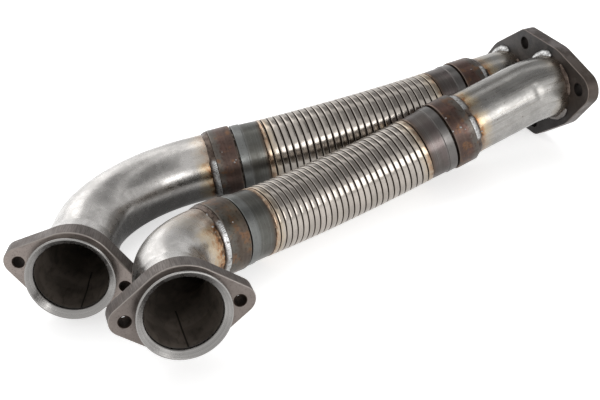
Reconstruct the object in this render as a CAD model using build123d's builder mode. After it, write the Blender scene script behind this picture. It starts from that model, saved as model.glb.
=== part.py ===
from build123d import *
import os
from math import cos, radians, sin, tan

# Twin flexible exhaust front pipe: two lines side by side, each with a two-bolt inlet flange, a bent
# inlet tube with a flared mouth, an interlocked hose between collars and sleeves, and an outlet tube
# that ends in the one flange shared by both lines. Lengths are millimetres and angles are degrees.
# The origin is the middle of the outlet flange's mating face, and +Z is up as the pipe lies loose.

# Pose of the outlet flange when the loose pipe lies on this flange, the right hose and the left sleeve
rest_pitch = 3.9
rest_roll = 16.7

# Outlet flange, shared by both lines
port_spacing = 78.0
outlet_flange_thickness = 13.0
outlet_flange_port_radius = 42.3
middle_bolt_spacing = 84.0
middle_bolt_boss_radius = 14.3
end_bolt_spacing = 173.0
end_bolt_boss_radius = 16.4
outlet_bolt_hole = 13.0
outlet_flange_edge = 1.0

# Inlet flanges
inlet_flange_thickness = 18.0
inlet_flange_body_radius = 41.5
inlet_bolt_spacing = 96.0
inlet_bolt_boss_radius = 13.5
inlet_bolt_hole = 10.5
inlet_flange_edge = 1.2
lip_standoff = 9.7

# Tubes
tube_wall = 2.0
inlet_tube_outer = 66.0
outlet_tube_outer = 63.5
outlet_tube_recess = 3.0

# Mouth of an inlet tube: sized larger for the flange, then flared to a round rim
mouth_outer = 70.0
mouth_sized_length = 40.0
mouth_cone_length = 15.0
rim_radius = 40.4
flare_angle = 51.0

# Interlocked hose
hose_length = 189.1
hose_turn_pitch = 6.8
hose_turn_edge = 1.2
hose_turn_peak_radius = 33.6
hose_turn_valley_radius = 32.6
hose_neck_outer = 61.0
hose_wall = 1.5

# Joint between hose and tube: crimped collar, open gap, welded sleeve
collar_length = 27.6
collar_hose_end_outer = 66.4
collar_taper_outer = 67.4
collar_band_outer = 69.0
collar_band_width = 9.0
collar_band_edge = 0.7
joint_gap = 1.8
sleeve_length = 22.4
sleeve_outer = 71.0
sleeve_edge = 1.0
tube_seat_depth = 12.0

# Weld beads
sleeve_weld_leg = 4.8
sleeve_weld_height = 1.4
flange_weld_leg = 4.0
stitch_weld_leg = 3.5
stitch_count = 4
stitch_angle = 44.0
bead_bulge = 0.4

# Bending table of each line, from the outlet flange forward to the inlet mouth. A turn is how far the
# tube is rotated about its own axis before the next bend, the first one from straight up.
right_outlet_straight = 14.6
right_outlet_turn = 165.0
right_outlet_radius = 92.5
right_outlet_angle = 14.2
right_outlet_run = 73.1
right_hose_turn = 138.0
right_hose_angle = 21.6
right_inlet_run = 5.0
right_inlet_turn = -45.7
right_inlet_radius = 70.0
right_inlet_angle = 66.1
right_inlet_straight = 64.7
right_flange_turn = 90.2

left_outlet_straight = 12.4
left_outlet_turn = 162.0
left_outlet_radius = 101.3
left_outlet_angle = 4.8
left_outlet_run = 23.5
left_hose_turn = -78.4
left_hose_angle = 11.0
left_inlet_run = 21.7
left_inlet_turn = 177.0
left_inlet_radius = 121.2
left_inlet_angle = 75.7
left_inlet_straight = 83.2
left_flange_turn = 65.9

neck_length = collar_length + joint_gap + sleeve_length - tube_seat_depth
joint_length = neck_length + tube_seat_depth


# A station is a plane across a tube: local Z is the heading and local Y is the side it bends towards.
def after_bend(station, radius, angle):
    """The station at the end of a bend towards the station's local Y."""
    swing = radians(angle)
    step = (0, radius * (1 - cos(swing)), radius * sin(swing))
    return station.moved(Location(step, (-angle, 0, 0)))


def turned(station, angle):
    """The station rotated about its heading."""
    return station.moved(Location((0, 0, 0), (0, 0, angle)))


def facing_back(station):
    """The station with its heading reversed."""
    return Plane(station.origin, x_dir=station.x_dir, z_dir=-station.z_dir)


def bend_plane(station):
    """The plane that a bend lies in: local X is the heading and local Y points to the bend's centre."""
    return Plane(station.origin, x_dir=station.z_dir, z_dir=-station.x_dir)


def half_section(station):
    """The plane of a turned piece's profile: local X is the radius and local Y the heading."""
    return Plane(station.origin, x_dir=station.x_dir, z_dir=-station.y_dir)


def axis_of(station):
    """The tube's axis at the station."""
    return Axis(station.origin, station.z_dir)


def outlet_tube_from(mouth, straight, radius, angle, run):
    """Outlet tube, from its mouth inside the flange to its seat in the sleeve."""
    with BuildPart() as tube:
        with BuildLine(bend_plane(mouth)):
            first = Line((0, 0), (straight, 0))
            bend = JernArc(first @ 1, (1, 0), radius, angle)
            Line(bend @ 1, bend @ 1 + (bend % 1) * run)
        with BuildSketch(mouth):
            Circle(outlet_tube_outer / 2)
            Circle(outlet_tube_outer / 2 - tube_wall, mode=Mode.SUBTRACT)
        sweep()
    return tube


def inlet_tube_from(seat, run, radius, angle, straight):
    """Inlet tube, from its seat in the sleeve to the round rim of its flared mouth."""
    formed = mouth_sized_length + mouth_cone_length
    root = after_bend(seat.offset(run), radius, angle).offset(straight - formed)
    rim_centre = rim_radius - tube_wall / 2
    across = tube_wall / 2 * cos(radians(flare_angle))
    along = tube_wall / 2 * sin(radians(flare_angle))
    flare_run = (rim_centre - mouth_outer / 2 + tube_wall / 2) / tan(radians(flare_angle))
    flare_start = formed - tube_wall / 2 - flare_run
    flare_shift = tube_wall / 2 * tan(radians(flare_angle) / 2)
    with BuildPart() as tube:
        with BuildLine(bend_plane(seat)):
            first = Line((0, 0), (run, 0))
            bend = JernArc(first @ 1, (1, 0), radius, angle)
            Line(bend @ 1, bend @ 1 + (bend % 1) * (straight - formed))
        with BuildSketch(seat):
            Circle(inlet_tube_outer / 2)
            Circle(inlet_tube_outer / 2 - tube_wall, mode=Mode.SUBTRACT)
        sweep()
        with BuildSketch(half_section(root)):
            with BuildLine():
                outside = Polyline(
                    (inlet_tube_outer / 2 - tube_wall, 0),
                    (inlet_tube_outer / 2, 0),
                    (mouth_outer / 2, mouth_cone_length),
                    (mouth_outer / 2, flare_start - flare_shift),
                    (rim_centre + across, formed - tube_wall / 2 - along),
                )
                inside = Polyline(
                    (inlet_tube_outer / 2 - tube_wall, 0),
                    (mouth_outer / 2 - tube_wall, mouth_cone_length),
                    (mouth_outer / 2 - tube_wall, flare_start + flare_shift),
                    (rim_centre - across, formed - tube_wall / 2 + along),
                )
                rim_tip = (rim_centre + along, formed - tube_wall / 2 + across)
                ThreePointArc(outside @ 1, rim_tip, inside @ 1)
            make_face()
        revolve(axis=axis_of(root))
    return tube


def hose_from(start, angle):
    """Interlocked hose along one arc, with a plain neck at each end for the collar and sleeve."""
    radius = hose_length / radians(angle)
    turns = int(hose_length // hose_turn_pitch)
    margin = (hose_length - turns * hose_turn_pitch) / 2
    neck_start = start.offset(-neck_length)
    with BuildPart() as hose:
        with BuildLine(bend_plane(neck_start)) as middle:
            first = Line((0, 0), (neck_length, 0))
            bend = JernArc(first @ 1, (1, 0), radius, angle)
            Line(bend @ 1, bend @ 1 + (bend % 1) * neck_length)
        with BuildSketch(start):
            Circle(hose_turn_valley_radius)
        for turn in range(turns):
            foot = margin + turn * hose_turn_pitch
            with BuildSketch(after_bend(start, radius, angle * foot / hose_length)):
                Circle(hose_turn_valley_radius)
            crest = foot + hose_turn_edge
            with BuildSketch(after_bend(start, radius, angle * crest / hose_length)):
                Circle(hose_turn_peak_radius)
        last = hose_length - margin
        with BuildSketch(after_bend(start, radius, angle * last / hose_length)):
            Circle(hose_turn_valley_radius)
        with BuildSketch(after_bend(start, radius, angle)):
            Circle(hose_turn_valley_radius)
        loft(ruled=True)
        with BuildSketch(neck_start):
            Circle(hose_neck_outer / 2)
        extrude(amount=neck_length)
        with BuildSketch(after_bend(start, radius, angle)):
            Circle(hose_neck_outer / 2)
        extrude(amount=neck_length)
        with BuildSketch(neck_start):
            Circle(hose_neck_outer / 2 - hose_wall)
        sweep(path=middle.wire(), mode=Mode.SUBTRACT)
    return hose


def collar_on(hose_end):
    """Collar crimped on the hose's neck: a slight taper, then a raised band beside the gap."""
    band_start = collar_length - collar_band_width
    with BuildPart() as collar:
        with BuildSketch(half_section(hose_end)):
            with BuildLine():
                Polyline(
                    (hose_neck_outer / 2, 0),
                    (collar_hose_end_outer / 2, 0),
                    (collar_taper_outer / 2, band_start),
                    (collar_band_outer / 2, band_start),
                    (collar_band_outer / 2, collar_length),
                    (hose_neck_outer / 2, collar_length),
                    close=True,
                )
            face = make_face()
            fillet(face.vertices().group_by(Axis((0, 0), (1, 0)))[-1], collar_band_edge)
        revolve(axis=axis_of(hose_end))
    return collar


def sleeve_on(hose_end, tube_outer):
    """Sleeve that takes the hose's neck on one side of its step and the tube on the other."""
    with BuildPart() as sleeve:
        with BuildSketch(hose_end.offset(collar_length + joint_gap)):
            Circle(sleeve_outer / 2)
        extrude(amount=sleeve_length)
        fillet(sleeve.edges().filter_by(GeomType.CIRCLE), sleeve_edge)
        with BuildSketch(hose_end.offset(collar_length + joint_gap)):
            Circle(hose_neck_outer / 2)
        extrude(amount=sleeve_length, mode=Mode.SUBTRACT)
        with BuildSketch(hose_end.offset(neck_length)):
            Circle(tube_outer / 2)
        extrude(amount=tube_seat_depth, mode=Mode.SUBTRACT)
    return sleeve


def bead_on(face, tube_outer, height, leg, count=1, sector=360):
    """Weld bead on a tube where it leaves a face, all round or as evenly spaced stitches."""
    root = tube_outer / 2
    with BuildPart() as bead:
        for stitch in range(count):
            with BuildSketch(half_section(turned(face, stitch * 360 / count))):
                with BuildLine():
                    toes = Polyline((root + height, 0), (root, 0), (root, leg))
                    crown = (root + height / 2 + bead_bulge, leg / 2 + bead_bulge)
                    ThreePointArc(toes @ 1, crown, toes @ 0)
                make_face()
            revolve(axis=axis_of(face), revolution_arc=sector)
    return bead


def inlet_flange_at(face):
    """Two-bolt oval flange behind the given front face."""
    with BuildPart() as flange:
        with BuildSketch(face):
            with BuildLine():
                CenterArc((0, 0), inlet_flange_body_radius, 0, 360)
                CenterArc((-inlet_bolt_spacing / 2, 0), inlet_bolt_boss_radius, 0, 360)
                CenterArc((inlet_bolt_spacing / 2, 0), inlet_bolt_boss_radius, 0, 360)
            make_hull()
        extrude(amount=-inlet_flange_thickness)
        fillet(flange.faces().filter_by(axis_of(face)).edges(), inlet_flange_edge)
        with Locations(face):
            Hole(mouth_outer / 2)
            with GridLocations(inlet_bolt_spacing, 0, 2, 1):
                Hole(inlet_bolt_hole / 2)
    return flange


# The outlet flange's mating face, seen from outside: local X runs to the right-hand line
mating_face = Plane.XZ.moved(Location((0, 0, 0), (-rest_pitch, 0, 0)))
mating_face = turned(mating_face, rest_roll)
right_port = mating_face.moved(Location((port_spacing / 2, 0, 0)))
left_port = mating_face.moved(Location((-port_spacing / 2, 0, 0)))

with BuildPart() as outlet_flange:
    with BuildSketch(mating_face):
        with BuildLine():
            for side in (-1, 1):
                CenterArc((side * port_spacing / 2, 0), outlet_flange_port_radius, 0, 360)
                CenterArc((0, side * middle_bolt_spacing / 2), middle_bolt_boss_radius, 0, 360)
                CenterArc((side * end_bolt_spacing / 2, 0), end_bolt_boss_radius, 0, 360)
        make_hull()
    extrude(amount=outlet_flange_thickness)
    fillet(outlet_flange.faces().filter_by(axis_of(mating_face)).edges(), outlet_flange_edge)
    with Locations(mating_face):
        with GridLocations(port_spacing, 0, 2, 1):
            Hole(outlet_tube_outer / 2)
        with GridLocations(end_bolt_spacing, 0, 2, 1):
            Hole(outlet_bolt_hole / 2)
        with GridLocations(0, middle_bolt_spacing, 1, 2):
            Hole(outlet_bolt_hole / 2)


def line_from(
    port,
    outlet_straight, outlet_turn, outlet_radius, outlet_angle, outlet_run,
    hose_turn, hose_angle,
    inlet_run, inlet_turn, inlet_radius, inlet_angle, inlet_straight,
    flange_turn,
):
    """Every piece of one line, laid along its bending table from the port on the mating face."""
    outlet_mouth = turned(port.offset(outlet_tube_recess), outlet_turn)
    outlet_reach = outlet_flange_thickness - outlet_tube_recess + outlet_straight
    outlet_bent = after_bend(outlet_mouth.offset(outlet_reach), outlet_radius, outlet_angle)
    hose_start = turned(outlet_bent.offset(outlet_run + joint_length), hose_turn)
    hose_end = after_bend(hose_start, hose_length / radians(hose_angle), hose_angle)
    outlet_side = facing_back(hose_start)
    inlet_seat = turned(hose_end.offset(neck_length), inlet_turn)
    inlet_reach = tube_seat_depth + inlet_run
    inlet_bent = after_bend(inlet_seat.offset(inlet_reach), inlet_radius, inlet_angle)
    flange_face = turned(inlet_bent.offset(inlet_straight - lip_standoff), flange_turn)
    outlet_sleeve_end = outlet_side.offset(joint_length)
    inlet_sleeve_end = hose_end.offset(joint_length)
    flange_back = facing_back(flange_face.offset(-inlet_flange_thickness))
    plate_back = port.offset(outlet_flange_thickness)
    return {
        "outlet_tube": outlet_tube_from(
            outlet_mouth, outlet_reach, outlet_radius, outlet_angle, outlet_run + tube_seat_depth
        ),
        "outlet_flange_weld": bead_on(
            plate_back, outlet_tube_outer, stitch_weld_leg, stitch_weld_leg, stitch_count, stitch_angle
        ),
        "outlet_sleeve": sleeve_on(outlet_side, outlet_tube_outer),
        "outlet_weld": bead_on(
            outlet_sleeve_end, outlet_tube_outer, sleeve_weld_height, sleeve_weld_leg
        ),
        "outlet_collar": collar_on(outlet_side),
        "hose": hose_from(hose_start, hose_angle),
        "inlet_collar": collar_on(hose_end),
        "inlet_sleeve": sleeve_on(hose_end, inlet_tube_outer),
        "inlet_weld": bead_on(
            inlet_sleeve_end, inlet_tube_outer, sleeve_weld_height, sleeve_weld_leg
        ),
        "inlet_tube": inlet_tube_from(
            inlet_seat, inlet_reach, inlet_radius, inlet_angle, inlet_straight
        ),
        "inlet_flange": inlet_flange_at(flange_face),
        "inlet_flange_weld": bead_on(flange_back, mouth_outer, flange_weld_leg, flange_weld_leg),
    }


right_line = line_from(
    right_port,
    right_outlet_straight, right_outlet_turn, right_outlet_radius, right_outlet_angle, right_outlet_run,
    right_hose_turn, right_hose_angle,
    right_inlet_run, right_inlet_turn, right_inlet_radius, right_inlet_angle, right_inlet_straight,
    right_flange_turn,
)
left_line = line_from(
    left_port,
    left_outlet_straight, left_outlet_turn, left_outlet_radius, left_outlet_angle, left_outlet_run,
    left_hose_turn, left_hose_angle,
    left_inlet_run, left_inlet_turn, left_inlet_radius, left_inlet_angle, left_inlet_straight,
    left_flange_turn,
)

os.makedirs("parts", exist_ok=True)
outlet_flange.part.label = "outlet_flange"
export_step(outlet_flange.part, "parts/outlet_flange.step")
for side, line in (("right", right_line), ("left", left_line)):
    for name, piece in line.items():
        piece.part.label = f"{side}_{name}"
        export_step(piece.part, f"parts/{side}_{name}.step")
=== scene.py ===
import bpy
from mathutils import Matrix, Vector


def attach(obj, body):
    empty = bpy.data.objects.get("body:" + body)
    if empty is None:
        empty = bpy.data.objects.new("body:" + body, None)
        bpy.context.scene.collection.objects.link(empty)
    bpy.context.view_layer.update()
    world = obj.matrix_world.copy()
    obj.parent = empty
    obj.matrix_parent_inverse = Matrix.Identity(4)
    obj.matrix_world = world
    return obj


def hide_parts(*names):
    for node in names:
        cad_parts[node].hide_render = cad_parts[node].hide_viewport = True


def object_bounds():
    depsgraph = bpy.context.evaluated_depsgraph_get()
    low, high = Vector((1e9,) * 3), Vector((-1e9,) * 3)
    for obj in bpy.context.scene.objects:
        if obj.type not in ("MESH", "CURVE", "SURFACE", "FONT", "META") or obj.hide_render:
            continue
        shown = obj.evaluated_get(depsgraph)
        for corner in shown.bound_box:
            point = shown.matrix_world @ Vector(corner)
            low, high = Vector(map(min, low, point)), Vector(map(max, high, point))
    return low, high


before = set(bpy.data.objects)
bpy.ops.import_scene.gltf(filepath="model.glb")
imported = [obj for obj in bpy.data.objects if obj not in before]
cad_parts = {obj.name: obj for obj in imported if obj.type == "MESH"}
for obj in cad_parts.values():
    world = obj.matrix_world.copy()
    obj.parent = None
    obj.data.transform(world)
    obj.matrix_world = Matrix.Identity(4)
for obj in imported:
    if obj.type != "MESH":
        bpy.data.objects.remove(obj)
CAD_BOX = [list(corner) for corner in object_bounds()]

from functools import cache
from math import cos, floor, pi, radians, sin, tan, tau
from random import Random
from typing import NamedTuple

import bmesh
import bpy
from bpy.props import FloatProperty, FloatVectorProperty, IntProperty, PointerProperty
from mathutils import Matrix, Vector, noise

bl_info = {
    "name": "Twin Exhaust Front Pipe",
    "version": (1, 0, 0),
    "blender": (4, 5, 0),
    "location": "3D View > Sidebar > Exhaust Pipe",
    "description": "Dresses a twin flexible exhaust front pipe with its tubes, hoses, welds and finishes",
    "category": "Add Mesh",
}

SIDES = ("right", "left")

# How many faces go round each kind of piece.
AROUND = {"tube": 160, "hose": 96, "ring": 128, "bead": 480, "fillet": 420, "stitch": 60}


def length(name, description, value):
    """A length property in metres."""
    return FloatProperty(name=name, description=description, default=value, min=0, unit="LENGTH")


def angle(name, description, value):
    """An angle property whose default is given in degrees."""
    return FloatProperty(name=name, description=description, default=radians(value), unit="ROTATION")


def number(name, description, value):
    """A plain number property."""
    return FloatProperty(name=name, description=description, default=value)


def colour(name, description, value):
    """A colour property in linear red, green and blue."""
    return FloatVectorProperty(
        name=name, description=description, default=value, size=3, min=0, max=1, subtype="COLOR"
    )


class PipeSizes(bpy.types.PropertyGroup):
    """Sizes that both lines share."""

    rest_pitch: angle("Rest Pitch", "How far the outlet flange's mating face looks down", 3.9)
    rest_roll: angle("Rest Roll", "How far the right end of the outlet flange is raised", 16.7)
    port_spacing: length("Port Spacing", "Distance between the two ports", 0.078)
    plate: length("Outlet Flange", "Thickness of the outlet flange", 0.013)
    inlet_plate: length("Inlet Flange", "Thickness of an inlet flange", 0.018)
    standoff: length("Lip Standoff", "How far a mouth's lip stands proud of its flange", 0.0097)
    recess: length("Tube Recess", "How far an outlet tube ends behind the mating face", 0.003)
    wall: length("Tube Wall", "Wall of every tube", 0.002)
    inlet_tube: length("Inlet Tube Radius", "Outer radius of an inlet tube", 0.033)
    outlet_tube: length("Outlet Tube Radius", "Outer radius of an outlet tube", 0.03175)
    mouth: length("Mouth Radius", "Outer radius of a sized mouth", 0.035)
    mouth_sized: length("Sized Length", "Length of a mouth's sized part", 0.040)
    mouth_cone: length("Cone Length", "Length of the cone behind the sized part", 0.015)
    rim: length("Rim Radius", "Outer radius of a flared rim", 0.0404)
    flare: angle("Flare Angle", "Angle of the flare from the mouth's axis", 51)
    hose: length("Hose Length", "Length of a hose between its collars", 0.1891)
    pitch: length("Turn Pitch", "Distance from one turn of the strip to the next", 0.0068)
    crest: length("Crest Radius", "Radius over the turns", 0.0336)
    groove: length("Groove Depth", "Depth of the groove between two turns", 0.0014)
    groove_width: length("Groove Width", "Width of the groove between two turns", 0.0013)
    neck: length("Neck Radius", "Outer radius of a hose's plain neck", 0.0305)
    neck_wall: length("Hose Wall", "Wall of a hose at its neck", 0.0015)
    collar: length("Collar Length", "Length of a crimped collar", 0.0276)
    collar_end: length("Collar End Radius", "Radius of a collar at its hose end", 0.0332)
    collar_taper: length("Collar Taper Radius", "Radius of a collar before its band", 0.0337)
    collar_band: length("Band Radius", "Radius of a collar's raised band", 0.0345)
    band_width: length("Band Width", "Width of a collar's raised band", 0.009)
    gap: length("Joint Gap", "Open gap between collar and sleeve", 0.0018)
    sleeve: length("Sleeve Length", "Length of a welded sleeve", 0.0224)
    sleeve_radius: length("Sleeve Radius", "Outer radius of a sleeve", 0.0355)
    seat: length("Tube Seat", "Depth of a tube inside its sleeve", 0.012)


class LineSizes:
    """What the two bending tables share."""

    def steps(self, sizes):
        """Turn, length and bend radius of each step, from the mating face to the lip."""
        joint = sizes.collar + sizes.gap + sizes.sleeve
        return (
            (self.outlet_turn, sizes.plate + self.outlet_straight, 0),
            (0, self.outlet_radius * self.outlet_angle, self.outlet_radius),
            (0, self.outlet_run + joint, 0),
            (self.hose_turn, sizes.hose, sizes.hose / self.hose_angle),
            (0, joint, 0),
            (self.inlet_turn, self.inlet_run, 0),
            (0, self.inlet_radius * self.inlet_angle, self.inlet_radius),
            (0, self.inlet_straight, 0),
        )


BENDING_TABLE = (
    ("outlet_straight", length, "Outlet tube before its bend", 0.0146, 0.0124),
    ("outlet_turn", angle, "Turn before the outlet bend", 165, 162),
    ("outlet_radius", length, "Radius of the outlet bend", 0.0925, 0.1013),
    ("outlet_angle", angle, "Angle of the outlet bend", 14.2, 4.8),
    ("outlet_run", length, "Outlet tube after its bend", 0.0731, 0.0235),
    ("hose_turn", angle, "Turn before the hose's bend", 138, -78.4),
    ("hose_angle", angle, "Angle of the hose's bend", 21.6, 11),
    ("inlet_run", length, "Inlet tube before its bend", 0.005, 0.0217),
    ("inlet_turn", angle, "Turn before the inlet bend", -45.7, 177),
    ("inlet_radius", length, "Radius of the inlet bend", 0.070, 0.1212),
    ("inlet_angle", angle, "Angle of the inlet bend", 66.1, 75.7),
    ("inlet_straight", length, "Inlet tube after its bend", 0.0647, 0.0832),
    ("flange_turn", angle, "Turn of the inlet flange from the bend", 90.2, 65.9),
)


def bending_table(column):
    """The bending table's properties, with one line's defaults."""
    return {
        key: kind(key.replace("_", " ").title(), note, defaults[column])
        for key, kind, note, *defaults in BENDING_TABLE
    }


class RightLine(LineSizes, bpy.types.PropertyGroup):
    """Bending table of the right-hand line."""

    __annotations__ = bending_table(0)


class LeftLine(LineSizes, bpy.types.PropertyGroup):
    """Bending table of the left-hand line."""

    __annotations__ = bending_table(1)


class WeldSizes(bpy.types.PropertyGroup):
    """Sizes of the weld beads."""

    leg: length("Sleeve Bead Leg", "Width of a sleeve's bead along the tube", 0.0058)
    height: length("Sleeve Bead Height", "Height of a sleeve's bead on the tube", 0.0019)
    flange_leg: length("Flange Bead Leg", "Leg of the fillet behind an inlet flange", 0.004)
    stitch_leg: length("Stitch Leg", "Leg of a stitch on the outlet flange", 0.0060)
    stitch_angle: angle("Stitch Angle", "How far a stitch reaches round its tube", 61)
    stitch_lead: angle("Stitch Lead", "How far a stitch starts before its quarter", 13)
    ripple: length("Ripple", "Distance from one weld ripple to the next", 0.0017)
    spatter: length("Spatter Radius", "Radius of the largest drop of spatter", 0.0011)
    drops: IntProperty(name="Drops", description="Drops of spatter beside each bead", default=9)


class FinishColours(bpy.types.PropertyGroup):
    """Base colours of the finishes."""

    inlet_tube: colour("Inlet Tube", "Pale satin steel of the inlet tubes", (0.46, 0.445, 0.43))
    outlet_tube: colour("Outlet Tube", "Darker drawn steel of the outlet tubes", (0.37, 0.36, 0.345))
    lip: colour("Lip", "Brushed steel of the flared rims", (0.32, 0.31, 0.30))
    # The bore's colour is darker than the tubes' steel: partly its dull finish, partly painted shade
    # inside the tube.
    bore: colour("Bore", "Dull brown inside of a tube", (0.20, 0.168, 0.142))
    hose: colour("Hose", "Bright rolled strip", (0.40, 0.365, 0.33))
    groove: colour("Groove", "Bottom of the grooves", (0.030, 0.022, 0.017))
    collar: colour("Inlet Collar", "Green-grey pressed steel", (0.105, 0.105, 0.096))
    brown_collar: colour("Outlet Collar", "Purple-brown pressed steel", (0.120, 0.100, 0.096))
    band: colour("Collar Band", "Blue-grey raised band of a collar", (0.165, 0.170, 0.166))
    maroon: colour("Sleeve", "Steel heated to maroon brown", (0.105, 0.062, 0.052))
    olive: colour("Near Sleeve", "Steel heated to olive brown", (0.120, 0.098, 0.074))
    weld: colour("Weld", "Bare weld metal", (0.46, 0.46, 0.455))
    oxide: colour("Oxide", "Oxide on the dull parts of a weld", (0.058, 0.043, 0.036))
    flange: colour("Inlet Flange", "Brown-grey plate", (0.160, 0.138, 0.126))
    scale: colour("Scale", "Blue-black scale of the outlet flange", (0.040, 0.038, 0.038))
    straw: colour("Straw", "First tint of heated steel", (0.46, 0.355, 0.215))
    rust: colour("Rust", "Orange brown next to a weld", (0.29, 0.135, 0.058))
    burnt: colour("Burnt", "Dark brown at a weld's toe", (0.055, 0.034, 0.024))
    floor: colour("Floor", "Plain pale floor", (0.85, 0.85, 0.85))


class StageSizes(bpy.types.PropertyGroup):
    """Camera and lamps of the studio."""

    camera: FloatVectorProperty(
        name="Camera", description="Camera's place", default=(0.99366, -0.68325, 0.6045),
        size=3, subtype="TRANSLATION", unit="LENGTH",
    )
    azimuth: angle("Azimuth", "Heading of the view from +Y towards +X", -68.2)
    elevation: angle("Elevation", "How steeply the camera looks down", 31.43)
    roll: angle("Roll", "Roll of the camera about its view", -6.49)
    focal: number("Focal Length", "Lens in millimetres", 75)
    strip_glow: number("Strip Glow", "Brightness of the low strip lamp in front", 3.0)
    side_glow: number("Side Glow", "Brightness of the lamp behind the inlet end", 1.35)
    top_glow: number("Top Glow", "Brightness of the overhead lamp", 1.3)
    room_glow: number("Room Glow", "Brightness of the room on matt surfaces", 0.42)


def carry(station, distance, radius):
    """The station further along a straight, or along a bend towards its local Y."""
    if not radius:
        return station @ Matrix.Translation((0, 0, distance))
    swing = distance / radius
    step = Matrix.Translation((0, radius * (1 - cos(swing)), radius * sin(swing)))
    return station @ step @ Matrix.Rotation(-swing, 4, "X")


class Joint(NamedTuple):
    """One end of a hose: where it and the weld lie on the line, and the way to the tube and its radius."""

    end: str
    hose: float
    weld: float
    way: int
    tube: float


class Route:
    """Middle line of one line, measured from the outlet flange's mating face."""

    def __init__(self, side):
        scene = bpy.context.scene
        sizes = scene.pipe_sizes
        table = getattr(scene, side + "_line")
        shift = sizes.port_spacing / 2 * (1 if side == "right" else -1)
        here = mating_face() @ Matrix.Translation((shift, 0, 0))
        self.segments = []
        self.known = {}
        turned = 0
        for turn, distance, radius in table.steps(sizes):
            turned += turn
            here = here @ Matrix.Rotation(turn, 4, "Z")
            self.segments.append((here, distance, radius, turned))
            here = carry(here, distance, radius)
        joint = sizes.collar + sizes.gap + sizes.sleeve
        self.lip = sum(segment[1] for segment in self.segments)
        self.hose_start = sum(segment[1] for segment in self.segments[:3])
        self.hose_end = self.hose_start + sizes.hose
        self.outlet_weld = self.hose_start - joint
        self.inlet_weld = self.hose_end + joint
        self.joints = (
            Joint("outlet", self.hose_start, self.outlet_weld, -1, sizes.outlet_tube),
            Joint("inlet", self.hose_end, self.inlet_weld, 1, sizes.inlet_tube),
        )
        self.inlet_back = self.lip - sizes.standoff - sizes.inlet_plate
        self.inlet_face = here @ Matrix.Rotation(table.flange_turn, 4, "Z")
        self.inlet_face = self.inlet_face @ Matrix.Translation((0, 0, -sizes.standoff))

    def station(self, distance):
        """The station at a distance, rolled back so that angles round the tube run on unbroken."""
        if distance not in self.known:
            rest = distance
            for here, reach, radius, turned in self.segments:
                if rest <= reach:
                    break
                rest -= reach
            else:
                rest += reach
            self.known[distance] = carry(here, rest, radius) @ Matrix.Rotation(-turned, 4, "Z")
        return self.known[distance]

    def point(self, distance, radius, theta):
        """The point at a distance along, a radius out and an angle round."""
        return self.station(distance) @ Vector((radius * cos(theta), radius * sin(theta), 0))


def mating_face():
    """The outlet flange's mating face: local X runs to the right-hand line and Z into the flange."""
    sizes = bpy.context.scene.pipe_sizes
    face = Matrix(((1, 0, 0, 0), (0, 0, -1, 0), (0, 1, 0, 0), (0, 0, 0, 1)))
    face = face @ Matrix.Rotation(-sizes.rest_pitch, 4, "X")
    return face @ Matrix.Rotation(sizes.rest_roll, 4, "Z")


def wobble(point, size, seed=0.0):
    """Smooth noise from -1 to 1 with features of the given size in metres."""
    return noise.noise(Vector(point) / size + Vector((seed, seed * 1.7, seed * 2.3)))


def fade(value, start, end):
    """0 at start and 1 at end, smooth between."""
    t = min(1, max(0, (value - start) / (end - start)))
    return t * t * (3 - 2 * t)


def spread(start, end, step):
    """Evenly spaced values from start to end, at most a step apart."""
    count = max(1, floor(abs(end - start) / step + 0.999))
    return [start + (end - start) * i / count for i in range(count + 1)]


def outline(corners, step=0.002):
    """A closed profile through (distance, radius, rounding) corners, its long sides cut to the step."""
    arcs = []
    for i, (distance, radius, rounding) in enumerate(corners):
        corner = Vector((distance, radius))
        before = (Vector(corners[i - 1][:2]) - corner).normalized()
        after = (Vector(corners[(i + 1) % len(corners)][:2]) - corner).normalized()
        if not rounding:
            arcs.append([corner])
            continue
        half = before.angle(after) / 2
        centre = corner + (before + after).normalized() * (rounding / sin(half))
        first = corner + before * (rounding / tan(half)) - centre
        last = corner + after * (rounding / tan(half)) - centre
        arcs.append([centre + (first.lerp(last, k / 6)).normalized() * rounding for k in range(7)])
    profile = []
    for arc, following in zip(arcs, arcs[1:] + arcs[:1]):
        profile += arc
        count = len(spread(arc[-1].x, following[0].x, step)) - 1
        profile += [arc[-1].lerp(following[0], k / count) for k in range(1, count)]
    return [tuple(point) for point in profile]


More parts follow.
